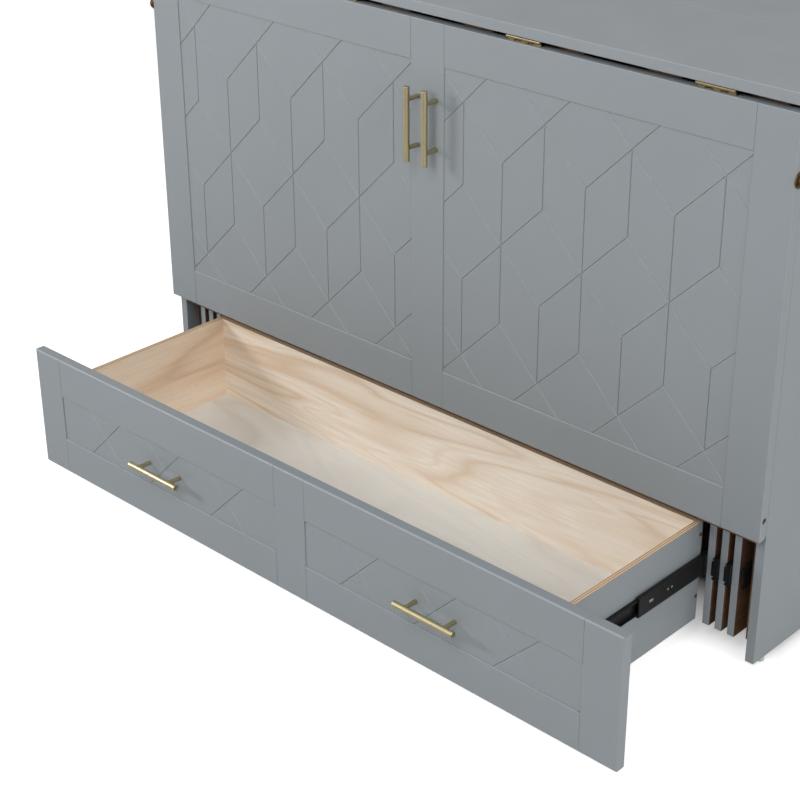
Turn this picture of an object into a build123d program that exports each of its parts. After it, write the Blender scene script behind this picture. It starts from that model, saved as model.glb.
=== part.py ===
from build123d import *
import os

# Cabinet bed, closed, with its storage drawer pulled out. Millimetres.
# X runs across the front, Y into the cabinet and Z up. While the pieces are made, X is 0 at the
# middle, Y is 0 on the face of the front panel and Z is 0 on the floor. They are all moved along Y
# at the end, so that the origin lies under the middle of the whole object.

# Overall sizes
WIDTH = 1600.0
DEPTH = 630.0
PANEL_BOTTOM = 284.0
PANEL_HEIGHT = 790.0
PANEL_T = 22.0
LID_GAP = 12.0
LID_T = 20.0

# Framed fronts: the fold-down panel and the drawer front
STILE_W = 82.0
CENTRE_STILE_W = 84.0
BOTTOM_RAIL_H = 82.0
TOP_RAIL_H = 81.0
DRAWER_TOP_RAIL_H = 90.0
INSERT_RECESS = 2.0
INSERT_T = 17.0
ARRIS = 1.2
DRAWER_ARRIS = 3.0
GROOVE_DEPTH = 2.6
LATTICE_COLUMNS = 7
LATTICE_STRAIGHT = 162.0

# Cabinet
SIDE_T = 18.0
BACK_T = 15.0
GLIDE_H = 12.0
GLIDE_D = 16.0
GLIDE_INSET = 38.0
FRONT_GAP = 0.5
SPACER_T = 23.7
SPACER_FRONT = 57.0
SPACER_H = 228.0
SLAT_T = 12.0
SLAT_W = 94.0
SLAT_COUNT = 12
DECK_RAIL_T = 22.0
LEDGER_W = 24.0
DECK_CLEARANCE = 5.0

# Pivot of the front panel, at its lower back corner
PIVOT_INSET = 10.0
PIVOT_PIN_D = 6.0
PIVOT_PIN_L = 62.0
EYE_D = 16.0
EYE_T = 5.0
SLOT_CLEARANCE = 1.0
PLATE_W = 46.0
PLATE_T = 3.0
PLATE_H = 24.0

# Places of the brackets and of the lid's hinges, from the panel's ends and from its middle
HINGE_END = 165.0
HINGE_INNER = 228.0

# Butt hinges between the front panel and the lid
HINGE_L = 76.0
KNUCKLE_COUNT = 5
HINGE_AXIS_Y = 4.0
HINGE_DROP = 4.0
KNUCKLE_D = 7.0
KNUCKLE_GAP = 0.3
HINGE_PIN_D = 3.0
PIN_TIP_D = 5.6
LEAF_T = 1.5
LEAF_BACK = 21.0
LEAF_CLEARANCE = 1.0

# Lid battens
BATTEN_W = 70.0
BATTEN_COUNT = 8
BATTEN_FRONT = 26.0
BATTEN_BACK_GAP = 3.0

# Nested board frames on ball-bearing slides
STAGE_COUNT = 3
STAGE_T = 15.0
STAGE_H = 220.0
STAGE_FRONT = 34.0
CROSSBAR_T = 18.0
CROSSBAR_H = 140.0
CROSSBAR_DROP = 37.0
CROSSBAR_GAP = 4.0
REAR_CLEARANCE = 43.0
LID_CLEARANCE = 1.0

# Ball-bearing slide section
SLIDE_GAP = 12.7
SLIDE_H = 45.0
SLIDE_INNER_H = 30.0
SLIDE_FRONT = 26.0
SLIDE_DROP = 89.0
SHEET_T = 1.2
BALL_GAP = 0.7
LIP = 1.4
SLIDE_REAR_GAP = 2.0
SLIDE_HOLE_D = 6.0
SLIDE_HOLE_L = 14.0
SLIDE_HOLE_INSET = 24.0

# Drawer, stored pulled out by DRAWER_OPEN
DRAWER_OPEN = 390.0
DRAWER_FLOOR_GAP = 4.0
DRAWER_PANEL_GAP = 2.0
BOX_DEPTH = 398.0
BOX_H = 214.0
BOX_T = 12.0
BOX_BOTTOM_T = 6.0
BOX_BOTTOM_LIFT = 15.0
BOX_GROOVE = 6.0
DRAWER_SLIDE_INSET = 4.0

# Handles, knobs and frame bolts
HANDLE_L = 148.0
HANDLE_D = 12.5
HANDLE_POST_D = 9.0
HANDLE_POST_PITCH = 96.0
HANDLE_STANDOFF = 33.0
HANDLE_PAIR = 46.0
HANDLE_UP = 594.0
KNOB_D = 28.0
KNOB_H = 12.0
KNOB_UP = 677.0
KNOB_PROFILE = ((0, 0), (1, 0), (1, 1 / 6), (0.62, 1 / 3), (0.62, 0.5), (0.86, 0.68), (0.8, 0.9), (0, 1))
BOLT_HEAD_D = 11.8
BOLT_SHANK_D = 6.0
BOLT_SINK = 1.5
BOLT_HEAD_H = 6.0
BOLT_L = 110.0
BOLT_TIP_GAP = 1.0
RUNNING_FIT = 0.05

# How far a cut runs past the face that it opens, and what counts as lying on a line
CUT_MARGIN = 1.0
TOUCH = 0.01

# Levels and stations that follow from the sizes
HALF = WIDTH / 2
PANEL_TOP = PANEL_BOTTOM + PANEL_HEIGHT
LID_BOTTOM = PANEL_TOP + LID_GAP
LID_TOP = LID_BOTTOM + LID_T
HINGE_STATIONS = (HINGE_END - HALF, -HINGE_INNER, HINGE_INNER, HALF - HINGE_END)
PIVOT_Y = PANEL_T - PIVOT_INSET
PIVOT_Z = PANEL_BOTTOM + PIVOT_INSET
DECK_TOP = PIVOT_Z + PIVOT_INSET
HINGE_AXIS_Z = LID_BOTTOM - HINGE_DROP
# Faces of the panel and of the lid that point down once they are folded out
OPEN_PANEL_FACE = PIVOT_Z - PIVOT_Y
OPEN_LID_SEAT = PIVOT_Z + HINGE_AXIS_Y - PIVOT_Y - HINGE_DROP
OPEN_LID_FACE = OPEN_LID_SEAT - LID_T
BATTEN_T = DECK_TOP - OPEN_LID_SEAT
BOARD_TOP = OPEN_LID_FACE - LID_CLEARANCE
CABINET_FRONT = PANEL_T + FRONT_GAP
BACK_FACE = DEPTH - BACK_T
SIDE_IN = HALF - SIDE_T
SPACER_IN = SIDE_IN - SPACER_T
STAGE_PITCH = STAGE_T + SLIDE_GAP
BOX_HALF = SPACER_IN - SLIDE_GAP - STAGE_COUNT * STAGE_PITCH
STAGE_REAR = BACK_FACE - REAR_CLEARANCE
SLIDE_REAR = STAGE_REAR - (STAGE_COUNT - 1) * (CROSSBAR_T + CROSSBAR_GAP) - SLIDE_REAR_GAP
SLIDE_L = SLIDE_REAR - SLIDE_FRONT
SLIDE_Z = BOARD_TOP - SLIDE_DROP
DRAWER_FACE = -DRAWER_OPEN
DRAWER_BOTTOM = DRAWER_FLOOR_GAP
DRAWER_TOP = OPEN_PANEL_FACE - DRAWER_PANEL_GAP
BOX_FRONT = DRAWER_FACE + PANEL_T
DRAWER_SLIDE_L = BOX_DEPTH - 2 * DRAWER_SLIDE_INSET
INSERT_W = HALF - STILE_W - CENTRE_STILE_W / 2
INSERT_X = CENTRE_STILE_W / 2 + INSERT_W / 2
FRONT_REACH = DRAWER_OPEN - INSERT_RECESS + HANDLE_STANDOFF + HANDLE_D / 2
MIDDLE_Y = (DEPTH - FRONT_REACH) / 2

STAGE_NAMES = ("outer", "middle", "inner")


def block(x, y, z):
    """A box from its low and high limits on each axis."""
    centre = Pos((x[0] + x[1]) / 2, (y[0] + y[1]) / 2, (z[0] + z[1]) / 2)
    return centre * Box(x[1] - x[0], y[1] - y[0], z[1] - z[0])


def rod_x(diameter, x, y, z):
    """A round bar along X, between two x limits."""
    centre = Pos((x[0] + x[1]) / 2, y, z)
    return centre * Rot(0, 90, 0) * Cylinder(diameter / 2, x[1] - x[0])


def both_sides(solid):
    """A piece and its mirror image on the other side of the middle."""
    return [solid, solid.mirror(Plane.YZ)]


def save(node, *solids):
    """Moves the pieces of a node to the object's own origin and writes them."""
    moved = [Pos(0, -MIDDLE_Y, 0) * solid for solid in solids]
    export_step(Compound(children=moved), "parts/" + node + ".step")


def front_edges(solid):
    """The edges round the face that looks out to the front."""
    return solid.faces().sort_by(Axis.Y)[0].edges()


def frame_member(x, y, z, outline, outer_arris):
    """One stile or rail. Its edges on the front's outline are rounded more than the inner ones."""
    member = block(x, (y, y + PANEL_T), z)
    on_outline = []
    inner = []
    for edge in front_edges(member):
        middle = edge.center()
        at_side = abs(abs(middle.X) - HALF) < TOUCH
        at_end = min(abs(middle.Z - outline[0]), abs(middle.Z - outline[1])) < TOUCH
        (on_outline if at_side or at_end else inner).append(edge)
    if abs(outer_arris - ARRIS) < TOUCH:
        return fillet(on_outline + inner, ARRIS)
    member = fillet(on_outline, outer_arris)
    kept = []
    for edge in front_edges(member):
        middle = edge.center()
        near_side = abs(middle.X) > HALF - outer_arris - TOUCH
        near_end = min(middle.Z - outline[0], outline[1] - middle.Z) < outer_arris + TOUCH
        if not near_side and not near_end:
            kept.append(edge)
    return fillet(kept, ARRIS)


def lattice_tiles(straight, height):
    """Bevelled fields between the grooves of one insert, about its middle, as (x, z) outlines.

    The grooves run at 45 degrees between evenly spaced columns. Rows of square fields stand above
    and below a band of slanted fields, whose upright sides are as long as straight.
    """
    step = INSERT_W / LATTICE_COLUMNS
    fields = []
    for column in range(-1, LATTICE_COLUMNS + 1):
        x = (column + 0.5) * step - INSERT_W / 2
        odd = column % 2
        if not odd:
            fields.append(diamond(x, 0, step))
        row = 1
        while straight + (row - 1) * step < height / 2:
            if (row % 2 == 1) == (odd == 1):
                fields.append(diamond(x, straight + row * step, step))
                fields.append(diamond(x, -straight - row * step, step))
            row += 1
        if straight and column < LATTICE_COLUMNS:
            left = 0 if odd else step
            right = step - left
            for side in (1, -1):
                fields.append([(x, side * left), (x + step, side * right),
                               (x + step, side * (right + straight)), (x, side * (left + straight))])
    return fields


def diamond(x, z, reach):
    """A square field stood on its corner."""
    return [(x - reach, z), (x, z + reach), (x + reach, z), (x, z - reach)]


def grooved_insert(y, z, straight):
    """The right-hand recessed insert. V-shaped grooves cross its face from edge to edge."""
    height = z[1] - z[0]
    limits = (INSERT_X - INSERT_W / 2, INSERT_X + INSERT_W / 2)
    face = y + INSERT_RECESS
    floor = face + GROOVE_DEPTH
    tiles = []
    for outline in lattice_tiles(straight, height):
        field = Plane.XZ * make_face(Polyline(*outline, close=True))
        tiles.append(extrude(field, GROOVE_DEPTH, taper=45))
    lattice = Pos(INSERT_X, floor, (z[0] + z[1]) / 2) * (Part() + tiles)
    relief = lattice & block(limits, (face, floor), z)
    return block(limits, (floor, face + INSERT_T), z) + relief


def handle(middle_x, y, middle_z, upright):
    """A bar on two posts, standing off a face that looks to the front."""
    bar = Cylinder(HANDLE_D / 2, HANDLE_L)
    bar = chamfer(bar.edges(), HANDLE_D / 12)
    post = Rot(90, 0, 0) * Cylinder(HANDLE_POST_D / 2, HANDLE_STANDOFF)
    for side in (1, -1):
        bar += Pos(0, HANDLE_STANDOFF / 2, side * HANDLE_POST_PITCH / 2) * post
    turn = Rot(0, 0, 0) if upright else Rot(0, 90, 0)
    return Pos(middle_x, y - HANDLE_STANDOFF, middle_z) * turn * bar


def slide_member(kind, gap, y):
    """One member of a slide in the gap between two boards, both sides.

    gap is the distance from the middle to the gap's outer wall. The outer member lies on that
    wall, the inner member on the board further in, and the middle one runs between them on balls.
    """
    if kind == "outer":
        web = 0.0
        half = SLIDE_H / 2
        reach = SLIDE_GAP - SHEET_T - BALL_GAP
    elif kind == "middle":
        web = SHEET_T + BALL_GAP
        half = SLIDE_H / 2 - SHEET_T - BALL_GAP
        reach = SLIDE_GAP - 2 * SHEET_T - 2 * BALL_GAP - SHEET_T
    else:
        web = SLIDE_GAP - SHEET_T
        half = SLIDE_INNER_H / 2
        reach = 2 * SHEET_T + 2 * BALL_GAP
    turned = kind == "inner"
    span = (reach, SLIDE_GAP) if turned else (web, reach)
    member = slab(gap, span, y, (SLIDE_Z - half, SLIDE_Z + half))
    hollow = (reach - CUT_MARGIN, web) if turned else (web + SHEET_T, reach + CUT_MARGIN)
    member -= slab(gap, hollow, y, (SLIDE_Z - half + SHEET_T, SLIDE_Z + half - SHEET_T))
    if kind == "outer":
        for side in (1, -1):
            edge = SLIDE_Z + side * (half - SHEET_T)
            low = min(edge, edge - side * LIP)
            member += slab(gap, (reach - SHEET_T, reach), y, (low, low + LIP))
    if kind != "middle":
        for end in (y[0] + SLIDE_HOLE_INSET, y[1] - SLIDE_HOLE_INSET):
            slot = extrude(Plane.YZ * SlotOverall(SLIDE_HOLE_L, SLIDE_HOLE_D), WIDTH / 2)
            member -= Pos(0, end, SLIDE_Z) * slot
    return both_sides(member)


def slab(gap, span, y, z):
    """A box in a slide gap. span is counted from the gap's outer wall towards the middle."""
    return block((gap - span[1], gap - span[0]), y, z)


def stage_gap(stage):
    """Distance from the middle to the outer wall of the slide gap outside one board frame."""
    return SPACER_IN - stage * STAGE_PITCH


def cabinet():
    """Side panels, back, spacers and glides, standing on the floor."""
    side = block((SIDE_IN, HALF), (CABINET_FRONT, DEPTH), (GLIDE_H, LID_BOTTOM))
    right, left = both_sides(side)
    save("side_panel_right", right)
    save("side_panel_left", left)
    save("back_panel", block((-SIDE_IN, SIDE_IN), (BACK_FACE, DEPTH), (GLIDE_H, LID_BOTTOM)))
    spacer = block((SPACER_IN, SIDE_IN), (SPACER_FRONT, BACK_FACE), (BOARD_TOP - SPACER_H, BOARD_TOP))
    save("spacer_boards", *both_sides(spacer))
    glides = []
    for y in (CABINET_FRONT + GLIDE_INSET, DEPTH - GLIDE_INSET):
        glide = Pos(HALF - SIDE_T / 2, y, GLIDE_H / 2) * Cylinder(GLIDE_D / 2, GLIDE_H)
        glides += both_sides(glide)
    save("floor_glides", *glides)


def deck():
    """Fixed part of the bed deck: two rails, two ledgers and slats that run front to back."""
    low = BOARD_TOP + DECK_CLEARANCE
    high = DECK_TOP - SLAT_T
    front = block((-SIDE_IN, SIDE_IN), (CABINET_FRONT, CABINET_FRONT + DECK_RAIL_T), (low, high))
    for x in HINGE_STATIONS:
        front -= bracket_plate(x)
    save("deck_front_rail", front)
    save("deck_rear_rail", block((-SIDE_IN, SIDE_IN), (BACK_FACE - DECK_RAIL_T, BACK_FACE), (low, high)))
    ledger_y = (CABINET_FRONT + DECK_RAIL_T, BACK_FACE - DECK_RAIL_T)
    save("deck_ledgers", *both_sides(block((SIDE_IN - LEDGER_W, SIDE_IN), ledger_y, (low, high))))
    pitch = (2 * SIDE_IN - SLAT_W) / (SLAT_COUNT - 1)
    slats = []
    for index in range(SLAT_COUNT):
        x = -SIDE_IN + index * pitch
        slats.append(block((x, x + SLAT_W), (CABINET_FRONT, BACK_FACE), (high, DECK_TOP)))
    save("deck_slats", *slats)


def bracket_plate(x):
    """Plate of a pivot bracket, let in flush with the face of the deck's front rail."""
    high = DECK_TOP - SLAT_T
    return block((x - PLATE_W / 2, x + PLATE_W / 2), (CABINET_FRONT, CABINET_FRONT + PLATE_T),
                 (high - PLATE_H, high))


def pivot_brackets():
    """Steel brackets on the deck's front rail, each with an eye round the panel's pivot pin."""
    brackets = []
    for x in HINGE_STATIONS:
        span = (x - EYE_T / 2, x + EYE_T / 2)
        plate = bracket_plate(x)
        low = PIVOT_Z - EYE_D / 2
        web = block(span, (PIVOT_Y, CABINET_FRONT + PLATE_T / 2), (low, DECK_TOP - SLAT_T))
        eye = rod_x(EYE_D, span, PIVOT_Y, PIVOT_Z)
        bore = rod_x(PIVOT_PIN_D + 2 * RUNNING_FIT, span, PIVOT_Y, PIVOT_Z)
        brackets.append(plate + web + eye - bore)
    save("pivot_brackets", *brackets)


def pivot_cut(x):
    """Slot and pin bore in the front panel's rounded lower corner at one bracket."""
    span = (x - EYE_T / 2 - SLOT_CLEARANCE, x + EYE_T / 2 + SLOT_CLEARANCE)
    reach = EYE_D / 2 + SLOT_CLEARANCE
    slot = rod_x(2 * reach, span, PIVOT_Y, PIVOT_Z)
    behind = PANEL_T + CUT_MARGIN
    slot += block(span, (PIVOT_Y - reach, behind), (PANEL_BOTTOM - CUT_MARGIN, PIVOT_Z))
    slot += block(span, (PIVOT_Y, behind), (PIVOT_Z, PIVOT_Z + reach))
    pin = (x - PIVOT_PIN_L / 2 - SLOT_CLEARANCE, x + PIVOT_PIN_L / 2 + SLOT_CLEARANCE)
    return slot + rod_x(PIVOT_PIN_D + 2 * RUNNING_FIT, pin, PIVOT_Y, PIVOT_Z)


def bolt_stations():
    """Heights of the bolts through the stiles' outer edges, at the middle of each rail."""
    return (PANEL_BOTTOM + BOTTOM_RAIL_H / 2, PANEL_TOP - TOP_RAIL_H / 2)


def bolt_cut(z):
    """Counterbore and bore for one frame bolt, on the right."""
    middle = PANEL_T / 2
    start = HALF - BOLT_SINK
    head = rod_x(BOLT_HEAD_D + 4 * RUNNING_FIT, (start - BOLT_HEAD_H, HALF + CUT_MARGIN), middle, z)
    return head + rod_x(BOLT_SHANK_D + 2 * RUNNING_FIT, (start - BOLT_L - BOLT_TIP_GAP, HALF), middle, z)


def front_panel():
    """Fold-down panel: two stiles, a centre stile, four rails and two lattice inserts."""
    outline = (PANEL_BOTTOM, PANEL_TOP)
    corner = PIVOT_INSET

    def rounded(member):
        """Rounds the lower back edge about the pivot."""
        low = member.edges().filter_by(Axis.X).group_by(Axis.Z)[0]
        return fillet(low.sort_by(Axis.Y)[-1], corner)

    stile = rounded(frame_member((HALF - STILE_W, HALF), 0, outline, outline, ARRIS))
    for z in bolt_stations():
        stile -= bolt_cut(z)
    right, left = both_sides(stile)
    save("panel_stile_right", right)
    save("panel_stile_left", left)
    centre = (-CENTRE_STILE_W / 2, CENTRE_STILE_W / 2)
    save("panel_centre_stile", rounded(frame_member(centre, 0, outline, outline, ARRIS)))
    span = (CENTRE_STILE_W / 2, HALF - STILE_W)
    inner = (PANEL_BOTTOM + BOTTOM_RAIL_H, PANEL_TOP - TOP_RAIL_H)
    bottom = rounded(frame_member(span, 0, (PANEL_BOTTOM, inner[0]), outline, ARRIS))
    for x in HINGE_STATIONS:
        if x > 0:
            bottom -= pivot_cut(x)
    bottom -= bolt_cut(bolt_stations()[0])
    save("panel_bottom_rails", *both_sides(bottom))
    top = frame_member(span, 0, (inner[1], PANEL_TOP), outline, ARRIS) - bolt_cut(bolt_stations()[1])
    save("panel_top_rails", *both_sides(top))
    right, left = both_sides(grooved_insert(0, inner, LATTICE_STRAIGHT))
    save("panel_insert_right", right)
    save("panel_insert_left", left)
    height = PANEL_BOTTOM + HANDLE_UP
    save("panel_handles", *both_sides(handle(HANDLE_PAIR / 2, 0, height, True)))
    pins = []
    for x in HINGE_STATIONS:
        pins.append(rod_x(PIVOT_PIN_D, (x - PIVOT_PIN_L / 2, x + PIVOT_PIN_L / 2), PIVOT_Y, PIVOT_Z))
    save("pivot_pins", *pins)


def panel_edge_fittings():
    """Round knobs and frame bolts on the two outer edges of the front panel."""
    profile = [(out * KNOB_D / 2, up * KNOB_H) for out, up in KNOB_PROFILE]
    knob = revolve(Plane.XZ * make_face(Polyline(*profile, close=True)), Axis.Z)
    knob = Pos(HALF, PANEL_T / 2, PANEL_BOTTOM + KNOB_UP) * Rot(0, 90, 0) * knob
    save("panel_knobs", *both_sides(knob))
    bolts = []
    for z in bolt_stations():
        start = HALF - BOLT_SINK
        head = rod_x(BOLT_HEAD_D, (start - BOLT_HEAD_H, start), PANEL_T / 2, z)
        bolt = head + rod_x(BOLT_SHANK_D, (start - BOLT_L, start - BOLT_HEAD_H), PANEL_T / 2, z)
        bolts += both_sides(bolt)
    save("panel_bolts", *bolts)


def lid_hinges():
    """Butt hinges in the gap under the lid: lower leaf on the panel, upper leaf on the lid."""
    lower = []
    upper = []
    pins = []
    knuckle = HINGE_L / KNUCKLE_COUNT
    for x in HINGE_STATIONS:
        start = x - HINGE_L / 2
        end = x + HINGE_L / 2
        tangent = HINGE_AXIS_Y + KNUCKLE_D / 2
        low_leaf = block((start, end), (tangent, LEAF_BACK), (PANEL_TOP, PANEL_TOP + LEAF_T))
        clear = tangent + LEAF_CLEARANCE
        high_leaf = block((start, end), (clear, LEAF_BACK), (LID_BOTTOM - LEAF_T, LID_BOTTOM))
        for index in range(KNUCKLE_COUNT):
            span = (start + index * knuckle + KNUCKLE_GAP / 2, start + (index + 1) * knuckle - KNUCKLE_GAP / 2)
            barrel = rod_x(KNUCKLE_D, span, HINGE_AXIS_Y, HINGE_AXIS_Z)
            if index % 2 == 0:
                low_leaf += barrel
                low_leaf += block(span, (tangent - LEAF_T, tangent), (PANEL_TOP, HINGE_AXIS_Z))
            else:
                high_leaf += barrel
                high_leaf += block(span, (HINGE_AXIS_Y, clear), (LID_BOTTOM - LEAF_T, LID_BOTTOM))
        through = (start - CUT_MARGIN, end + CUT_MARGIN)
        bore = rod_x(HINGE_PIN_D + 2 * RUNNING_FIT, through, HINGE_AXIS_Y, HINGE_AXIS_Z)
        lower.append(low_leaf - bore)
        upper.append(high_leaf - bore)
        pin = rod_x(HINGE_PIN_D, (start - LEAF_T, end + LEAF_T), HINGE_AXIS_Y, HINGE_AXIS_Z)
        for tip in ((start - LEAF_T, start), (end, end + LEAF_T)):
            pin += rod_x(PIN_TIP_D, tip, HINGE_AXIS_Y, HINGE_AXIS_Z)
        pins.append(pin)
    save("lid_hinge_lower_leaves", *lower)
    save("lid_hinge_upper_leaves", *upper)
    save("lid_hinge_pins", *pins)


def lid():
    """Two boards side by side, joined by battens that drop between the cabinet's sides."""
    seam = DEPTH / 2
    for name, y in (("lid_front_board", (0, seam)), ("lid_rear_board", (seam, DEPTH))):
        board = block((-HALF, HALF), y, (LID_BOTTOM, LID_TOP))
        save(name, fillet(board.faces().sort_by(Axis.Z)[-1].edges(), ARRIS))
    pitch = (2 * SPACER_IN - BATTEN_W) / (BATTEN_COUNT - 1)
    battens = []
    for index in range(BATTEN_COUNT):
        x = -SPACER_IN + index * pitch
        battens.append(block((x, x + BATTEN_W), (BATTEN_FRONT, BACK_FACE - BATTEN_BACK_GAP),
                             (LID_BOTTOM - BATTEN_T, LID_BOTTOM)))
    save("lid_battens", *battens)


def board_frame(stage):
    """One of the nested U-shaped board frames that pull out one after the other."""
    name = STAGE_NAMES[stage]
    outside = stage_gap(stage) - SLIDE_GAP
    inside = outside - STAGE_T
    rear = STAGE_REAR - stage * (CROSSBAR_T + CROSSBAR_GAP)
    board = block((inside, outside), (STAGE_FRONT, rear), (BOARD_TOP - STAGE_H, BOARD_TOP))
    board = fillet(front_edges(board), ARRIS)
    save(name + "_boards", *both_sides(board))
    top = BOARD_TOP - CROSSBAR_DROP
    save(name + "_crossbar", block((-inside, inside), (rear - CROSSBAR_T, rear), (top - CROSSBAR_H, top)))


def slides():
    """Ball-bearing slides: one pair outside each board frame and one pair for the drawer."""
    for stage in range(STAGE_COUNT):
        front = SPACER_FRONT if stage == 0 else SLIDE_FRONT
        y = (front, front + SLIDE_L)
        gap = stage_gap(stage)
        carrier = "cabinet" if stage == 0 else STAGE_NAMES[stage - 1] + "_frame"
        save(carrier + "_slide_channels", *slide_member("outer", gap, y))
        save(STAGE_NAMES[stage] + "_slide_middles", *slide_member("middle", gap, y))
        save(STAGE_NAMES[stage] + "_slide_runners", *slide_member("inner", gap, y))
    gap = stage_gap(STAGE_COUNT)
    y = (SLIDE_FRONT, SLIDE_FRONT + DRAWER_SLIDE_L)
    half_open = DRAWER_OPEN / 2
    save("inner_frame_slide_channels", *slide_member("outer", gap, y))
    save("drawer_slide_middles", *slide_member("middle", gap, (y[0] - half_open, y[1] - half_open)))
    save("drawer_slide_runners", *slide_member("inner", gap, (y[0] - DRAWER_OPEN, y[1] - DRAWER_OPEN)))


def drawer_front():
    """Framed drawer front with two grooved inserts and two bar handles."""
    y = DRAWER_FACE
    outline = (DRAWER_BOTTOM, DRAWER_TOP)
    right, left = both_sides(frame_member((HALF - STILE_W, HALF), y, outline, outline, DRAWER_ARRIS))
    save("drawer_stile_right", right)
    save("drawer_stile_left", left)
    centre = (-CENTRE_STILE_W / 2, CENTRE_STILE_W / 2)
    save("drawer_centre_stile", frame_member(centre, y, outline, outline, DRAWER_ARRIS))
    span = (CENTRE_STILE_W / 2, HALF - STILE_W)
    inner = (DRAWER_BOTTOM + BOTTOM_RAIL_H, DRAWER_TOP - DRAWER_TOP_RAIL_H)
    bottom = frame_member(span, y, (DRAWER_BOTTOM, inner[0]), outline, DRAWER_ARRIS)
    save("drawer_bottom_rails", *both_sides(bottom))
    top = frame_member(span, y, (inner[1], DRAWER_TOP), outline, DRAWER_ARRIS)
    save("drawer_top_rails", *both_sides(top))
    right, left = both_sides(grooved_insert(y, inner, 0))
    save("drawer_insert_right", right)
    save("drawer_insert_left", left)
    seat = y + INSERT_RECESS
    height = (inner[0] + inner[1]) / 2
    save("drawer_handles", *both_sides(handle(INSERT_X, seat, height, False)))


def drawer_box():
    """Plywood box behind the drawer front. Its bottom is held in grooves."""
    low = BOARD_TOP - BOX_H
    rear = BOX_FRONT + BOX_DEPTH
    bottom_z = (low + BOX_BOTTOM_LIFT, low + BOX_BOTTOM_LIFT + BOX_BOTTOM_T)
    inside = BOX_HALF - BOX_T
    reach = inside + BOX_GROOVE
    bottom = block((-reach, reach), (BOX_FRONT + BOX_T - BOX_GROOVE, rear - BOX_T + BOX_GROOVE), bottom_z)
    side = block((inside, BOX_HALF), (BOX_FRONT, rear), (low, BOARD_TOP)) - bottom
    right, left = both_sides(side)
    save("drawer_box_right", right)
    save("drawer_box_left", left)
    save("drawer_box_back", block((-inside, inside), (rear - BOX_T, rear), (low, BOARD_TOP)) - bottom)
    front = block((-inside, inside), (BOX_FRONT, BOX_FRONT + BOX_T), (low, BOARD_TOP))
    save("drawer_box_front", front - bottom)
    save("drawer_box_bottom", bottom)


def build():
    """Makes every piece and writes it."""
    os.makedirs("parts", exist_ok=True)
    cabinet()
    deck()
    pivot_brackets()
    front_panel()
    panel_edge_fittings()
    lid_hinges()
    lid()
    for stage in range(STAGE_COUNT):
        board_frame(stage)
    slides()
    drawer_front()
    drawer_box()


build()
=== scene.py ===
import math

import bmesh
import bpy
from mathutils import Euler, Matrix, Vector


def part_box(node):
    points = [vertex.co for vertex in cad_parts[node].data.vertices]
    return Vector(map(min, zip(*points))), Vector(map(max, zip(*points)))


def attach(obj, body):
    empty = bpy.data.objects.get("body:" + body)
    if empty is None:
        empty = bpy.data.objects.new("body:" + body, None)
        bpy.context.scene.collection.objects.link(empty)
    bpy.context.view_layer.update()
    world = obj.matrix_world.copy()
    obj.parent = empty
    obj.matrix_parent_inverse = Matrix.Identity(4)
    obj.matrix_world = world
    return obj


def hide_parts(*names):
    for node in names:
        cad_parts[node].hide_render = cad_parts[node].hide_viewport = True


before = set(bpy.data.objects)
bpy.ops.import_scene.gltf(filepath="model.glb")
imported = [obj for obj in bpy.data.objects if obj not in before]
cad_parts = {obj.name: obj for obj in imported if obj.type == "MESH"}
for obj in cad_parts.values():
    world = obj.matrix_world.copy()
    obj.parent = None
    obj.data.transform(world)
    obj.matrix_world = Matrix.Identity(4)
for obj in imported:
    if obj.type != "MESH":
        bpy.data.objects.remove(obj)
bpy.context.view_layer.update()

# The photograph's camera, in metres and degrees
CAMERA_PLACE = (2.2090, -2.4872, 1.9666)
CAMERA_AZIMUTH = 43.76
CAMERA_ELEVATION = 27.297
CAMERA_ROLL = -0.37
CAMERA_LENS = 80.69
SENSOR = 36.0

# Colours as they look, in sRGB from 0 to 255. Woods have a dark, a middle and a pale tone.
GREY_PAINT = (143, 149, 153)
BROWN_BOARD = ((56, 36, 23), (98, 66, 43), (128, 94, 64))
PEACH_PLY = ((206, 173, 141), (235, 212, 187), (248, 234, 217))
CREAM_PLY = ((212, 182, 150), (236, 221, 203), (249, 242, 232))
PALE_PLY = ((206, 201, 191), (224, 222, 216), (234, 233, 229))
SLAT_WOOD = ((176, 138, 96), (206, 172, 128), (222, 196, 158))
EDGE_PLIES = ((158, 120, 84), (208, 177, 142), (234, 213, 184))
BLACK_STEEL = (17, 17, 18)
BLACK_NYLON = (14, 14, 15)
PALE_BRASS = (179, 168, 133)
ANTIQUE_BRASS = (112, 86, 60)
HINGE_BRASS = (150, 134, 98)
NYLON = (205, 203, 198)
ZINC = (200, 200, 196)

# The lattice of grooves in the inserts, in metres
LATTICE_COLUMNS = 7
LATTICE_STRAIGHT = 0.162
GROOVE_HALF = 0.0014
GROOVE_DEEP = 0.0018
RIM = 1e-6

# Slides and fasteners, in metres
RUNNER_DEPTH = 0.0077
SLOT_INSET = 0.024
BALL_TRACK = 0.0172
BALL_RADIUS = 0.0016
BALL_PITCH = 0.0072
BALL_COUNT = 10
NOSE = 0.003
OUTER_NOSE = 0.024
LEAF_T = 0.0015
HINGE_STATIONS = (-0.635, -0.228, 0.228, 0.635)
END_GAP = 0.0002
RIVET_INSET = 0.050
RUNNER_BLOCK_WALLS = (0.0074, 0.0003)
RUNNER_BLOCK_HALF = 0.0136
RUNNER_BLOCK_L = 0.009
RUNNER_BLOCK_ARRIS = 0.0006
CAGE_START = 0.016
CAGE_WALLS = (0.0020, 0.0054)
CAGE_HALF = 0.0002
BALL_WALL = 0.0037
STOP_WALLS = (0.0014, 0.0056)
STOP_RISES = (0.0162, 0.0192)
STOP_L = 0.012
BUMPER_DEPTH = 0.0058
BUMPER_WEB = 0.0012
BUMPER_FLANGE = 0.0044
BUMPER_LAP = 0.0001
BUMPER_ARRIS = 0.0003
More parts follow.
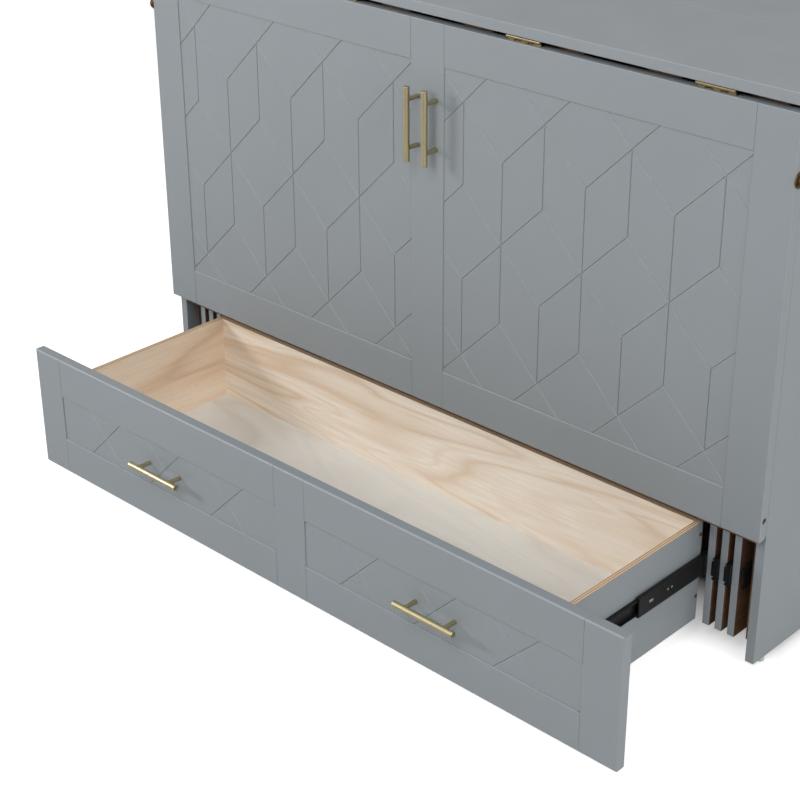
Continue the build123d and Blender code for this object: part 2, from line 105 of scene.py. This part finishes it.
MIDDLE_RIVET_INSET = 0.085
MIDDLE_RIVET_SECOND = 0.097
STUD_INSET = 0.034
STUD_HALF = 0.0055
STUD_OUTLINE = ((0, -0.0028), (0.00035, -0.0023), (0.00035, 0.0023), (0, 0.0028))
HINGE_SCREW_OFFSETS = (-0.028, 0.0, 0.028)
HINGE_SCREW_SETBACK = 0.0066
BOX_SCREW_INSET = 0.006
BOX_SCREW_DROP = 0.026
BOX_SCREW_LIFT = 0.053

# Heads of the fasteners, as a diameter and a height, and the shape that they share
HEAD_SIDES = 20
HEAD_STEPS = ((1.0, 0.0), (1.0, 0.3), (0.84, 0.8), (0.62, 1.0))
SLIDE_SCREW = (0.0086, 0.0019)
RUNNER_RIVET = (0.0050, 0.0009)
MIDDLE_RIVET = (0.0050, 0.00035)
HINGE_SCREW = (0.0062, 0.0007)
BOX_SCREW = (0.0080, 0.0014)
BOLT_SOCKET = (0.0112, 0.0011)

# Lamps, as a name, a place, a target, a size and a power
LAMPS = (
    ("key", (-3.4, -3.0, 1.9), (0, -0.1, 0.5), (1.0, 1.0), 76),
    ("fill", (0.9, -3.0, 3.6), (0, -0.2, 0.3), (2.2, 1.8), 72),
    ("side", (3.6, -0.4, 1.6), (0, 0.1, 0.5), (2.6, 2.0), 54),
    ("back", (-0.4, 3.6, 0.7), (0, 0.3, 0.6), (2.6, 1.0), 32),
)
WORLD_LIGHT = 0.2

# The floor, and where its lift for the camera starts: across, at the front and at the back
FLOOR_HALF = 14
FLOOR_TONE = (0.82, 0.82, 0.82, 1)
FLOOR_LIFT = 0.72
LIFT_ACROSS = (0.74, 0.86)
LIFT_FRONT = (-0.1, 0.12)
LIFT_BACK = 0.53


def linear(colour):
    """An sRGB colour from 0 to 255 as linear RGBA."""
    values = []
    for channel in colour:
        value = channel / 255
        values.append(value / 12.92 if value <= 0.04045 else ((value + 0.055) / 1.055) ** 2.4)
    return (*values, 1.0)


class Material:
    """A node material with its Principled shader and short ways to add and join nodes."""

    def __init__(self, name, roughness=0.5, metallic=0.0):
        self.material = bpy.data.materials.new(name)
        self.material.use_nodes = True
        self.tree = self.material.node_tree
        self.shader = self.tree.nodes["Principled BSDF"]
        self.shader.inputs["Roughness"].default_value = roughness
        self.shader.inputs["Metallic"].default_value = metallic
        coordinates = self.add("ShaderNodeTexCoord")
        self.place = coordinates.outputs["Object"]
        self.facet = coordinates.outputs["Normal"]
        self.axes = self.add("ShaderNodeSeparateXYZ")
        self.join(self.place, self.axes.inputs[0])

    def add(self, kind, **settings):
        node = self.tree.nodes.new(kind)
        for key, value in settings.items():
            if key in node.inputs:
                node.inputs[key].default_value = value
            else:
                setattr(node, key, value)
        return node

    def join(self, start, end):
        self.tree.links.new(start, end)

    def stretched(self, scale, source=None):
        """Object coordinates, scaled along each axis."""
        node = self.add("ShaderNodeMapping")
        node.inputs["Scale"].default_value = scale
        self.join(source or self.place, node.inputs["Vector"])
        return node.outputs["Vector"]

    def noise(self, scale, detail=2.0, source=None, **settings):
        node = self.add("ShaderNodeTexNoise", Scale=scale, Detail=detail, **settings)
        self.join(source or self.place, node.inputs["Vector"])
        return node.outputs["Fac"]

    def math(self, operation, first, second):
        """The result of an operation on two values, each a socket or a number."""
        node = self.add("ShaderNodeMath", operation=operation)
        for value, socket in ((first, node.inputs[0]), (second, node.inputs[1])):
            if isinstance(value, (float, int)):
                socket.default_value = value
            else:
                self.join(value, socket)
        return node.outputs[0]

    def ramp(self, factor, stops):
        """A colour ramp through (position, colour) stops."""
        node = self.add("ShaderNodeValToRGB")
        elements = node.color_ramp.elements
        while len(elements) < len(stops):
            elements.new(0.5)
        for element, (position, colour) in zip(elements, stops):
            element.position = position
            element.color = colour
        self.join(factor, node.inputs["Fac"])
        return node.outputs["Color"]

    def spread(self, factor, low, high, start=0.0, end=1.0):
        """Maps a value from start to end onto low to high."""
        node = self.add("ShaderNodeMapRange")
        node.inputs["From Min"].default_value = start
        node.inputs["From Max"].default_value = end
        node.inputs["To Min"].default_value = low
        node.inputs["To Max"].default_value = high
        self.join(factor, node.inputs["Value"])
        return node.outputs["Result"]

    def mix(self, factor, first, second):
        """Mixes two colours, each a socket or a fixed colour."""
        node = self.add("ShaderNodeMix", data_type="RGBA")
        sockets = (node.inputs[0], node.inputs[6], node.inputs[7])
        for value, socket in zip((factor, first, second), sockets):
            if isinstance(value, (float, int, tuple)):
                socket.default_value = value
            else:
                self.join(value, socket)
        return node.outputs[2]

    def between(self, factor, first, second):
        """Mixes two values."""
        node = self.add("ShaderNodeMix", data_type="FLOAT")
        self.join(factor, node.inputs[0])
        self.join(first, node.inputs[2])
        self.join(second, node.inputs[3])
        return node.outputs[0]

    def facing(self, direction, least=0.5):
        """1 where the surface faces along a direction of the object's own axes."""
        node = self.add("ShaderNodeVectorMath", operation="DOT_PRODUCT")
        self.join(self.facet, node.inputs[0])
        node.inputs[1].default_value = direction
        return self.math("GREATER_THAN", node.outputs["Value"], least)

    def wear(self, *looks, soften=0.0005):
        """Wears one look, or several: each one after the first comes with the mask that shows it."""
        tone, rough, height = looks[0]
        for mask, (other_tone, other_rough, other_height) in looks[1:]:
            tone = self.mix(mask, tone, other_tone)
            rough = self.between(mask, rough, other_rough)
            height = self.between(mask, height, other_height)
        self.join(tone, self.shader.inputs["Base Color"])
        self.join(rough, self.shader.inputs["Roughness"])
        edge = self.add("ShaderNodeBevel", samples=6)
        edge.inputs["Radius"].default_value = soften
        bump = self.add("ShaderNodeBump", Strength=1.0, Distance=1.0)
        self.join(height, bump.inputs["Height"])
        self.join(edge.outputs["Normal"], bump.inputs["Normal"])
        self.join(bump.outputs["Normal"], self.shader.inputs["Normal"])
        return self.material


def shade(colour, factor):
    """A linear colour made lighter or darker."""
    return (colour[0] * factor, colour[1] * factor, colour[2] * factor, 1.0)


# A look is the colour, the roughness and the height in metres of one finish, as sockets.


def paint_look(made):
    """Satin sprayed paint: faint cloudiness, orange peel and duller patches, with a painted highlight,
    lighter in patches, on arrises and groove walls that face up and to the front.
    """
    base = linear(GREY_PAINT)
    clouds = [(0.3, shade(base, 0.975)), (0.7, shade(base, 1.02))]
    tone = made.ramp(made.noise(3.2, detail=4), clouds)
    tone = made.mix(made.spread(made.noise(260, detail=1), 0.0, 0.08), tone, shade(base, 0.9))
    # Painted highlight: arrises and groove walls that face up and to the front are lightened in
    # patches, as if they catch the light.
    patchy = made.spread(made.noise(35, detail=2), 0.35, 0.7)
    painted_highlight = made.math("MULTIPLY", made.facing((0, -0.65, 0.76), 0.8), patchy)
    tone = made.mix(painted_highlight, tone, shade(base, 1.5))
    rough = made.spread(made.noise(9, detail=3), 0.40, 0.54)
    peel = made.spread(made.noise(420, detail=1), 0.0, 0.000016)
    return tone, rough, made.math("ADD", peel, made.spread(made.noise(30), 0.0, 0.00005))


def veneer_look(made, tones, along, rings=9.0, fibre=0.3, rough=0.62):
    """Rotary-cut wood: cathedral bands, fine fibres, pores and pale patches.

    tones are the dark, middle and pale colours, and along is the axis that the grain runs along.
    """
    dark, middle, pale = (linear(tone) for tone in tones)
    wide = {"X": (0.55, 3.4, 5.6), "Y": (3.4, 0.55, 5.6), "Z": (5.6, 3.4, 0.6)}[along]
    fine = {"X": (6, 150, 190), "Y": (150, 6, 190), "Z": (190, 150, 6)}[along]
    short = {"X": (38, 420, 420), "Y": (420, 38, 420), "Z": (420, 420, 38)}[along]
    warp = made.noise(1.0, detail=3, source=made.stretched(wide), Distortion=0.7)
    bands = made.spread(made.math("PINGPONG", made.math("MULTIPLY", warp, rings), 0.5), 0.0, 2.0)
    grain = made.noise(1.0, detail=4, source=made.stretched(fine))
    pores = made.noise(1.0, detail=1, source=made.stretched(short))
    tone = made.ramp(bands, [(0.0, dark), (0.3, middle), (0.75, pale), (1.0, middle)])
    tone = made.mix(0.38, tone, middle)
    tone = made.mix(made.spread(grain, 0.0, fibre, 0.35, 0.75), tone, shade(dark, 0.95))
    tone = made.mix(made.spread(pores, 0.0, fibre, 0.62, 0.8), tone, shade(dark, 0.8))
    tone = made.mix(made.spread(made.noise(1.7, detail=3), 0.0, 0.5, 0.4, 0.7), tone, pale)
    height = made.spread(made.math("ADD", grain, pores), 0.00012, 0.0)
    return tone, made.spread(grain, rough - 0.06, rough + 0.1), height


def ply_edge_look(made, across, tones, ply=0.0024):
    """Cut edge of plywood, with plies stacked along an axis."""
    waver = made.spread(made.noise(60), -0.0003, 0.0003)
    depth = made.math("ADD", made.axes.outputs[across], waver)
    stripe = made.math("PINGPONG", depth, ply)
    end = made.noise(1.0, detail=2, source=made.stretched((700, 700, 90)))
    dark, middle, pale = (linear(tone) for tone in tones)
    stops = [(0.25, dark), (0.5, middle), (0.8, pale)]
    tone = made.ramp(made.spread(stripe, 0.0, 1.0, 0.0, ply), stops)
    tone = made.mix(made.spread(end, 0.0, 0.35), tone, shade(middle, 0.8))
    return tone, made.spread(end, 0.66, 0.8), made.spread(end, 0.0, 0.00012)


def metal_look(made, colour, rough, brushed=None, soil=0.3, dark=0.7):
    """Metal with fine scratches along an axis and dull stains."""
    base = linear(colour)
    stretch = {
        "X": (30, 1500, 1500), "Y": (1500, 30, 1500), "Z": (1500, 1500, 30), None: (300, 300, 300),
    }
    scratch = made.noise(1.0, detail=3, source=made.stretched(stretch[brushed]))
    stain = made.noise(45, detail=3)
    tone = made.mix(made.spread(scratch, 0.0, 0.3), base, shade(base, dark))
    tone = made.mix(made.spread(stain, 0.0, soil, 0.45, 0.7), tone, shade(base, dark * 0.7))
    scratched = made.spread(scratch, rough - 0.06, rough + 0.08)
    patchy = made.math("ADD", scratched, made.spread(stain, 0.0, 0.08))
    return tone, patchy, made.spread(scratch, 0.0, 0.000006)


def finish(name, look, *settings, metallic=0.0, specular=0.5, soften=0.0005, **more):
    """A material with one look all over."""
    made = Material(name, metallic=metallic)
    made.shader.inputs["Specular IOR Level"].default_value = specular
    return made.wear(look(made, *settings, **more), soften=soften)


def painted(name, side, tones, along, edges, **more):
    """Plywood with paint on one side and bare plies on its top edge."""
    made = Material(name)
    wood = veneer_look(made, tones, along, **more)
    plies = (made.facing((0, 0, 1)), ply_edge_look(made, edges, EDGE_PLIES))
    return made.wear(wood, plies, (made.facing(side), paint_look(made)))


def fronted_board():
    """Board that is raw on its faces and painted on its front edge."""
    made = Material("fronted_board")
    raw = veneer_look(made, BROWN_BOARD, "Y", rings=5, fibre=0.5, rough=0.7)
    return made.wear(raw, (made.facing((0, -1, 0), 0.2), paint_look(made)))


def materials():
    """Every finish, by the name that the table of nodes below gives it."""
    brass = Material("pale_brass", metallic=1.0)
    raw = {"rings": 5, "fibre": 0.5, "rough": 0.7}
    return {
        "paint": finish("grey_paint", paint_look, soften=0.0009),
        "fine_paint": finish("grey_paint_grooved", paint_look, soften=0.00025),
        "board": finish("raw_board", veneer_look, BROWN_BOARD, "Y", **raw),
        "cross_board": finish("raw_board_across", veneer_look, BROWN_BOARD, "X", **raw),
        "fronted": fronted_board(),
        "box_right": painted("box_side_right", (1, 0, 0), PEACH_PLY, "Y", "X", rings=4),
        "box_left": painted("box_side_left", (-1, 0, 0), PEACH_PLY, "Y", "X", rings=4),
        "box_back": painted("box_back", (0, 1, 0), CREAM_PLY, "X", "Y"),
        "box_front": painted("box_front", (0, -1, 0), CREAM_PLY, "X", "Y"),
        "box_bottom": finish("box_bottom", veneer_look, PALE_PLY, "X", rings=6, fibre=0.22),
        "slat": finish("deck_slat_wood", veneer_look, SLAT_WOOD, "Y", rings=4),
        "rail": finish("deck_rail_wood", veneer_look, SLAT_WOOD, "X", rings=4),
        "back": finish("back_panel_board", veneer_look, SLAT_WOOD, "Z", rings=5),
        "steel": finish("black_steel", metal_look, BLACK_STEEL, 0.45,
                        brushed="Y", dark=0.8, specular=0.28),
        "zinc": finish("zinc", metal_look, ZINC, 0.28, metallic=1.0),
        "brass": brass.wear(metal_look(brass, PALE_BRASS, 0.30, brushed="Z", soil=0.15, dark=0.82)),
        "antique": finish("antique_brass", metal_look, ANTIQUE_BRASS, 0.36,
                          soil=0.6, metallic=0.9),
        "hinge": finish("hinge_brass", metal_look, HINGE_BRASS, 0.3, soil=0.4, metallic=1.0),
        "nylon": finish("nylon", metal_look, NYLON, 0.45, soil=0.12, dark=0.9),
        "rubber": finish("black_nylon", metal_look, BLACK_NYLON, 0.55,
                         soil=0.3, dark=0.8, specular=0.25),
    }


# Which finish each node of the solids gets, by the first word or words that match its name
NODE_FINISHES = (
    ("drawer_box_right", "box_right"), ("drawer_box_left", "box_left"), ("drawer_box_back", "box_back"),
    ("drawer_box_front", "box_front"), ("drawer_box_bottom", "box_bottom"), ("slide", "steel"),
    ("pivot", "steel"), ("knobs", "antique"), ("bolts", "antique"), ("lid_hinge", "hinge"),
    ("handles", "brass"), ("glides", "nylon"), ("crossbar", "cross_board"), ("spacer_boards", "board"),
    ("lid_front_board", "paint"), ("lid_rear_board", "paint"), ("_boards", "fronted"),
    # The deck's front rail takes the dark brown board finish, not its slat wood, so its darker colour
    # stands in as painted shade for the dark line under the front panel's bottom edge.
    ("deck_front_rail", "cross_board"), ("deck_slats", "slat"), ("deck_ledgers", "slat"),
    ("lid_battens", "board"), ("deck", "rail"),
    ("back_panel", "back"), ("insert", "fine_paint"), ("", "paint"),
)


def dress(finishes):
    """Gives each node of the solids its finish."""
    for name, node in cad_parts.items():
        chosen = next(key for word, key in NODE_FINISHES if word in name)
        node.material_slots[0].material = finishes[chosen]


def piece(name, shape, body, material, smooth=35):
    """Turns a bmesh into a piece of the object that rides on a body."""
    mesh = bpy.data.meshes.new(name)
    bmesh.ops.recalc_face_normals(shape, faces=shape.faces)
    shape.to_mesh(mesh)
    shape.free()
    mesh.polygons.foreach_set("use_smooth", [True] * len(mesh.polygons))
    mesh.set_sharp_from_angle(angle=math.radians(smooth))
    mesh.materials.append(material)
    made = bpy.data.objects.new(name, mesh)
    bpy.context.collection.objects.link(made)
    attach(made, body)
    return made


def clip(outline, axis, limit, side):
    """Cuts a convex outline of (x, z) points at a line, keeping what lies on one side of it."""
    kept = []
    for index, point in enumerate(outline):
        other = outline[(index + 1) % len(outline)]
        here = side * (limit - point[axis])
        there = side * (limit - other[axis])
        if here >= 0:
            kept.append(point)
        if here * there < 0:
            share = here / (here - there)
            kept.append(tuple(a + share * (b - a) for a, b in zip(point, other)))
    return kept


def lattice_tiles(width, straight, height):
    """Outlines of the fields between the grooves of one insert, about its middle."""
    step = width / LATTICE_COLUMNS
    tiles = []
    for column in range(-1, LATTICE_COLUMNS + 1):
        x = (column + 0.5) * step - width / 2
        odd = column % 2
        middles = [] if odd else [0]
        row = 1
        while straight + (row - 1) * step < height / 2:
            if (row % 2 == 1) == (odd == 1):
                middles += [straight + row * step, -straight - row * step]
            row += 1
        for z in middles:
            tiles.append([(x - step, z), (x, z - step), (x + step, z), (x, z + step)])
        if straight and column < LATTICE_COLUMNS:
            left = 0 if odd else step
            right = step - left
            end = x + step
            tiles.append([(x, left), (end, right), (end, right + straight), (x, left + straight)])
            tiles.append([(x, -left - straight), (end, -right - straight), (end, -right), (x, -left)])
    return tiles


def inset(outline, low, high):
    """Moves the sides of a field in by half a groove, apart from those on the insert's rim."""
    sides = []
    count = len(outline)
    for index in range(count):
        (x, z), (end_x, end_z) = outline[index], outline[(index + 1) % count]
        length = math.hypot(end_x - x, end_z - z)
        inward = (-(end_z - z) / length, (end_x - x) / length)
        ends = ((x, end_x, low[0]), (x, end_x, high[0]), (z, end_z, low[1]), (z, end_z, high[1]))
        rim = any(abs(a - limit) < RIM and abs(b - limit) < RIM for a, b, limit in ends)
        sides.append((inward, inward[0] * x + inward[1] * z + (0 if rim else GROOVE_HALF)))
    corners = []
    for index in range(count):
        (a, b), c = sides[index - 1]
        (d, e), f = sides[index]
        turn = a * e - b * d
        if abs(turn) < RIM:
            corners.append(outline[index])
        else:
            corners.append(((c * e - b * f) / turn, (a * f - c * d) / turn))
    return corners


def tidy(outline):
    """Drops the points of an outline that fall on the one before."""
    return [p for index, p in enumerate(outline) if math.dist(p, outline[index - 1]) > RIM]


def grooved_insert(node, body, straight, material):
    """Recessed insert with narrow V-shaped grooves, in the place of its node."""
    (x0, y0, z0), (x1, y1, z1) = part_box(node)
    side = 1 if x0 > 0 else -1
    width = x1 - x0
    middle = (abs(x0 + x1) / 2, (z0 + z1) / 2)
    low = (-width / 2, (z0 - z1) / 2)
    high = (width / 2, (z1 - z0) / 2)
    shape = bmesh.new()

    def corner(point, y):
        return shape.verts.new((side * (middle[0] + point[0]), y, middle[1] + point[1]))

    for outline in lattice_tiles(width, straight, z1 - z0):
        for axis in (0, 1):
            outline = clip(clip(outline, axis, high[axis], 1), axis, low[axis], -1)
        outline = tidy(outline)
        if len(outline) < 3:
            continue
        top = inset(outline, low, high)
        floor = [corner(point, y0 + GROOVE_DEEP) for point in outline]
        face = [corner(point, y0) for point in top]
        shape.faces.new(face)
        for index in range(len(outline)):
            after = (index + 1) % len(outline)
            shape.faces.new((face[index], face[after], floor[after], floor[index]))
    bmesh.ops.remove_doubles(shape, verts=shape.verts, dist=RIM)
    rim = [edge for edge in shape.edges if edge.is_boundary]
    made = bmesh.ops.extrude_edge_only(shape, edges=rim)["geom"]
    for vertex in (item for item in made if isinstance(item, bmesh.types.BMVert)):
        vertex.co.y = y1
    bmesh.ops.holes_fill(shape, edges=[edge for edge in shape.edges if edge.is_boundary], sides=0)
    bmesh.ops.dissolve_degenerate(shape, edges=shape.edges, dist=RIM)
    insert = piece(node + "_grooved", shape, body, material, smooth=20)
    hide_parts(node)


def ring(radius, count, z, turn=0.0):
    """Points of a circle, or of a polygon, at one height."""
    angles = [turn + math.tau * index / count for index in range(count)]
    return [(radius * math.cos(angle), radius * math.sin(angle), z) for angle in angles]


def loop_of(shape, points):
    """Vertices at some points and the closed loop of edges through them."""
    made = [shape.verts.new(point) for point in points]
    edges = [shape.edges.new((made[index - 1], vertex)) for index, vertex in enumerate(made)]
    return made, edges


def bridge(shape, first, second):
    """Faces between two rings of as many vertices."""
    for index in range(len(first)):
        shape.faces.new((first[index - 1], first[index], second[index], second[index - 1]))


def head(shape, place, out, diameter, height, recess="cross"):
    """A domed screw head with a cross or a six-sided recess. It is seated at a place and faces out."""
    own = bmesh.new()
    radius = diameter / 2
    rings = [loop_of(own, ring(radius * wide, HEAD_SIDES, height * tall))
             for wide, tall in HEAD_STEPS]
    for (low, _), (high, _) in zip(rings, rings[1:]):
        bridge(own, low, high)
    own.faces.new(rings[0][0])
    if recess == "cross":
        arm, half = radius * 0.42, radius * 0.11
        outline = []
        for along, across in ((1, 0), (0, 1), (-1, 0), (0, -1)):
            for x, y in ((arm, -half), (arm, half), (half, half)):
                outline.append((x * along - y * across, x * across + y * along, height))
    else:
        outline = ring(radius * 0.5, 6, height)
    mouth, mouth_edges = loop_of(own, outline)
    bmesh.ops.triangle_fill(own, edges=rings[-1][1] + mouth_edges, use_beauty=True)
    base = [own.verts.new((x, y, height * 0.35)) for x, y, _ in outline]
    bridge(own, mouth, base)
    own.faces.new(base)
    turn = Vector(out).to_track_quat("Z", "X").to_matrix().to_4x4()
    bmesh.ops.transform(own, matrix=Matrix.Translation(place) @ turn, verts=own.verts)
    merge(shape, own)


def merge(shape, own):
    """Adds one bmesh to another."""
    mesh = bpy.data.meshes.new("part")
    own.to_mesh(mesh)
    own.free()
    shape.from_mesh(mesh)
    bpy.data.meshes.remove(mesh)


def prism(shape, outline, y):
    """A closed solid with an outline of (x, z) points, between two y limits."""
    near, far = ([shape.verts.new((x, level, z)) for x, z in outline] for level in y)
    bridge(shape, near, far)
    shape.faces.new(near)
    shape.faces.new(far)


def rectangle(across, up):
    """Outline of a rectangle between two x and two z limits."""
    return [(across[0], up[0]), (across[1], up[0]), (across[1], up[1]), (across[0], up[1])]


def slide_fittings(finishes):
    """Screws, rivets and end blocks of the four pairs of slides, and what their middles carry."""
    for frame_name in ("outer_frame", "middle_frame", "inner_frame", "drawer"):
        stage = frame_name.replace("_frame", "")
        low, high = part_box(stage + "_slide_runners")
        middle = (low[2] + high[2]) / 2
        screws = bmesh.new()
        rivets = bmesh.new()
        blocks = bmesh.new()
        for side in (-1, 1):
            face = side * (high[0] - RUNNER_DEPTH)
            for y in (low[1] + SLOT_INSET, high[1] - SLOT_INSET):
                head(screws, (face, y, middle), (side, 0, 0), *SLIDE_SCREW)
            for y in (low[1] + RIVET_INSET, high[1] - RIVET_INSET):
                head(rivets, (face, y, middle), (side, 0, 0), *RUNNER_RIVET)
            across = [side * (high[0] - wall) for wall in RUNNER_BLOCK_WALLS]
            block = rectangle(across, (middle - RUNNER_BLOCK_HALF, middle + RUNNER_BLOCK_HALF))
            prism(blocks, block, (low[1] + END_GAP, low[1] + RUNNER_BLOCK_L))
            prism(blocks, block, (high[1] - RUNNER_BLOCK_L, high[1] - END_GAP))
        bmesh.ops.bevel(
            blocks, geom=blocks.edges, offset=RUNNER_BLOCK_ARRIS, segments=2, affect="EDGES")
        piece(stage + "_runner_blocks", blocks, frame_name, finishes["rubber"])
        piece(stage + "_slide_screws", screws, frame_name, finishes["zinc"])
        piece(stage + "_runner_rivets", rivets, frame_name, finishes["zinc"])
        running_fittings(stage, middle, finishes)


def running_fittings(stage, middle, finishes):
    """What rides on a slide's middle member: cages of balls, rivets and a bumper."""
    low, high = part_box(stage + "_slide_middles")
    body = stage + "_slide_middles"
    nose = OUTER_NOSE if stage == "outer" else NOSE
    cages = bmesh.new()
    rivets = bmesh.new()
    bumpers = bmesh.new()
    wall = high[0]
    tall = high[2] - middle
    profile = [
        (0, -tall), (BUMPER_DEPTH, -tall),
        (BUMPER_DEPTH, BUMPER_FLANGE - tall), (BUMPER_WEB, BUMPER_FLANGE - tall),
        (BUMPER_WEB, tall - BUMPER_FLANGE), (BUMPER_DEPTH, tall - BUMPER_FLANGE),
        (BUMPER_DEPTH, tall), (0, tall),
    ]
    for side in (-1, 1):
        for up in (-1, 1):
            track = middle + up * BALL_TRACK
            across = [side * (wall - depth) for depth in CAGE_WALLS]
            strip = rectangle(across, (track - CAGE_HALF, track + CAGE_HALF))
            start = low[1] + CAGE_START
            prism(cages, strip, (start, start + BALL_COUNT * BALL_PITCH))
            for index in range(BALL_COUNT):
                spot = (side * (wall - BALL_WALL), start + (index + 0.5) * BALL_PITCH, track)
                bmesh.ops.create_icosphere(
                    cages, subdivisions=2, radius=BALL_RADIUS, matrix=Matrix.Translation(spot))
            stop = rectangle([side * (wall - depth) for depth in STOP_WALLS],
                             sorted(middle + up * rise for rise in STOP_RISES))
            prism(bumpers, stop, (low[1] + END_GAP, low[1] + STOP_L))
        outline = [(side * (wall - depth), middle + z) for depth, z in profile]
        prism(bumpers, outline, (low[1] - nose, low[1] + BUMPER_LAP))
        near = (low[1] + MIDDLE_RIVET_INSET, low[1] + MIDDLE_RIVET_SECOND)
        for y in (*near, high[1] - MIDDLE_RIVET_INSET):
            head(rivets, (side * wall, y, middle), (side, 0, 0), *MIDDLE_RIVET)
        stud = [(side * (wall + out), middle + z) for out, z in STUD_OUTLINE]
        for y in (low[1] + STUD_INSET, high[1] - STUD_INSET):
            prism(rivets, stud, (y - STUD_HALF, y + STUD_HALF))
    bmesh.ops.bevel(bumpers, geom=bumpers.edges, offset=BUMPER_ARRIS, segments=1, affect="EDGES")
    piece(stage + "_ball_cages", cages, body, finishes["zinc"], smooth=60)
    piece(stage + "_middle_rivets", rivets, body, finishes["zinc"])
    piece(stage + "_slide_bumpers", bumpers, body, finishes["rubber"])


def hinge_screws(finishes):
    """Screws in the two leaves of each hinge under the lid."""
    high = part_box("lid_hinge_lower_leaves")[1]
    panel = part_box("panel_top_rails")[1][2]
    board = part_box("lid_front_board")[0][2]
    leaves = (("lower", "front_panel", panel + LEAF_T, 1), ("upper", "lid", board - LEAF_T, -1))
    for name, body, z, out in leaves:
        screws = bmesh.new()
        for station in HINGE_STATIONS:
            for offset in HINGE_SCREW_OFFSETS:
                place = (station + offset, high[1] - HINGE_SCREW_SETBACK, z)
                head(screws, place, (0, 0, out), *HINGE_SCREW)
        piece("lid_hinge_%s_screws" % name, screws, body, finishes["hinge"])


def box_screws(finishes):
    """Screws through the drawer's sides into its back and front."""
    screws = bmesh.new()
    for name, side in (("drawer_box_right", 1), ("drawer_box_left", -1)):
        low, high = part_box(name)
        face = high[0] if side > 0 else low[0]
        for y in (low[1] + BOX_SCREW_INSET, high[1] - BOX_SCREW_INSET):
            for z in (high[2] - BOX_SCREW_DROP, low[2] + BOX_SCREW_LIFT):
                head(screws, (face, y, z), (side, 0, 0), *BOX_SCREW)
    piece("drawer_box_screws", screws, "drawer", finishes["antique"])


def bolt_sockets(finishes):
    """Six-sided sockets in the heads of the front panel's bolts."""
    low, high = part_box("panel_bolts")
    sockets = bmesh.new()
    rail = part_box("panel_bottom_rails")
    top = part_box("panel_top_rails")
    for side in (-1, 1):
        for z in ((rail[0][2] + rail[1][2]) / 2, (top[0][2] + top[1][2]) / 2):
            place = (side * high[0], (low[1] + high[1]) / 2, z)
            head(sockets, place, (side, 0, 0), *BOLT_SOCKET, recess="socket")
    piece("panel_bolt_sockets", sockets, "front_panel", finishes["antique"])


def build():
    """Makes the scene."""
    finishes = materials()
    dress(finishes)
    slide_fittings(finishes)
    hinge_screws(finishes)
    box_screws(finishes)
    bolt_sockets(finishes)
    for side in ("left", "right"):
        grooved_insert("panel_insert_" + side, "front_panel", LATTICE_STRAIGHT, finishes["fine_paint"])
        grooved_insert("drawer_insert_" + side, "drawer", 0, finishes["fine_paint"])


def camera():
    """The photograph's view."""
    data = bpy.data.cameras.new("view")
    data.sensor_width = SENSOR
    data.lens = CAMERA_LENS
    data.clip_start = 0.05
    data.clip_end = 50
    made = bpy.data.objects.new("view", data)
    turn = Euler((math.radians(90 - CAMERA_ELEVATION), 0, math.radians(CAMERA_AZIMUTH))).to_matrix()
    roll = Euler((0, 0, math.radians(CAMERA_ROLL))).to_matrix()
    made.matrix_world = (turn @ roll).to_4x4()
    made.location = CAMERA_PLACE
    bpy.context.collection.objects.link(made)
    bpy.context.scene.camera = made


def area_light(name, place, target, size, power):
    """A rectangular lamp at a place, aimed at a target."""
    data = bpy.data.lights.new(name, "AREA")
    data.shape = "RECTANGLE"
    data.size, data.size_y = size
    data.energy = power
    made = bpy.data.objects.new(name, data)
    made.location = place
    aim = Vector(target) - Vector(place)
    made.rotation_euler = aim.to_track_quat("-Z", "Y").to_euler()
    bpy.context.collection.objects.link(made)


def studio():
    """Pale floor, even white surroundings and soft lamps on four sides."""
    scene = bpy.context.scene
    scene.view_settings.view_transform = "Standard"
    world = bpy.data.worlds.new("studio")
    world.use_nodes = True
    scene.world = world
    tree = world.node_tree
    back = tree.nodes["Background"]
    back.inputs["Color"].default_value = (1, 1, 1, 1)
    rays = tree.nodes.new("ShaderNodeLightPath")
    seen = tree.nodes.new("ShaderNodeMath")
    seen.operation = "MAXIMUM"
    tree.links.new(rays.outputs["Is Camera Ray"], seen.inputs[0])
    tree.links.new(rays.outputs["Is Glossy Ray"], seen.inputs[1])
    strength = tree.nodes.new("ShaderNodeMapRange")
    strength.inputs["To Min"].default_value = WORLD_LIGHT
    strength.inputs["To Max"].default_value = 1.0
    tree.links.new(seen.outputs[0], strength.inputs["Value"])
    tree.links.new(strength.outputs["Result"], back.inputs["Strength"])
    for lamp in LAMPS:
        area_light(*lamp)
    mesh = bpy.data.meshes.new("floor")
    shape = bmesh.new()
    bmesh.ops.create_grid(shape, x_segments=2, y_segments=2, size=FLOOR_HALF)
    shape.to_mesh(mesh)
    shape.free()
    floor = bpy.data.objects.new("floor", mesh)
    bpy.context.collection.objects.link(floor)
    made = Material("floor", roughness=0.9)
    made.shader.inputs["Base Color"].default_value = FLOOR_TONE
    glow = made.add("ShaderNodeEmission")
    rays = made.add("ShaderNodeLightPath")
    across = made.spread(made.math("ABSOLUTE", made.axes.outputs["X"], 0.0), 0.0, 1.0, *LIFT_ACROSS)
    inward = made.spread(made.axes.outputs["Y"], 1.0, 0.0, *LIFT_FRONT)
    behind = made.math("GREATER_THAN", made.axes.outputs["Y"], LIFT_BACK)
    open_floor = made.math("MAXIMUM", made.math("MAXIMUM", across, inward), behind)
    shown = made.spread(rays.outputs["Is Camera Ray"], 0.0, FLOOR_LIFT)
    lift = made.math("MULTIPLY", shown, open_floor)
    made.join(lift, glow.inputs["Strength"])
    both = made.add("ShaderNodeAddShader")
    made.join(made.shader.outputs[0], both.inputs[0])
    made.join(glow.outputs[0], both.inputs[1])
    made.join(both.outputs[0], made.tree.nodes["Material Output"].inputs["Surface"])
    mesh.materials.append(made.material)


build()
camera()
studio()
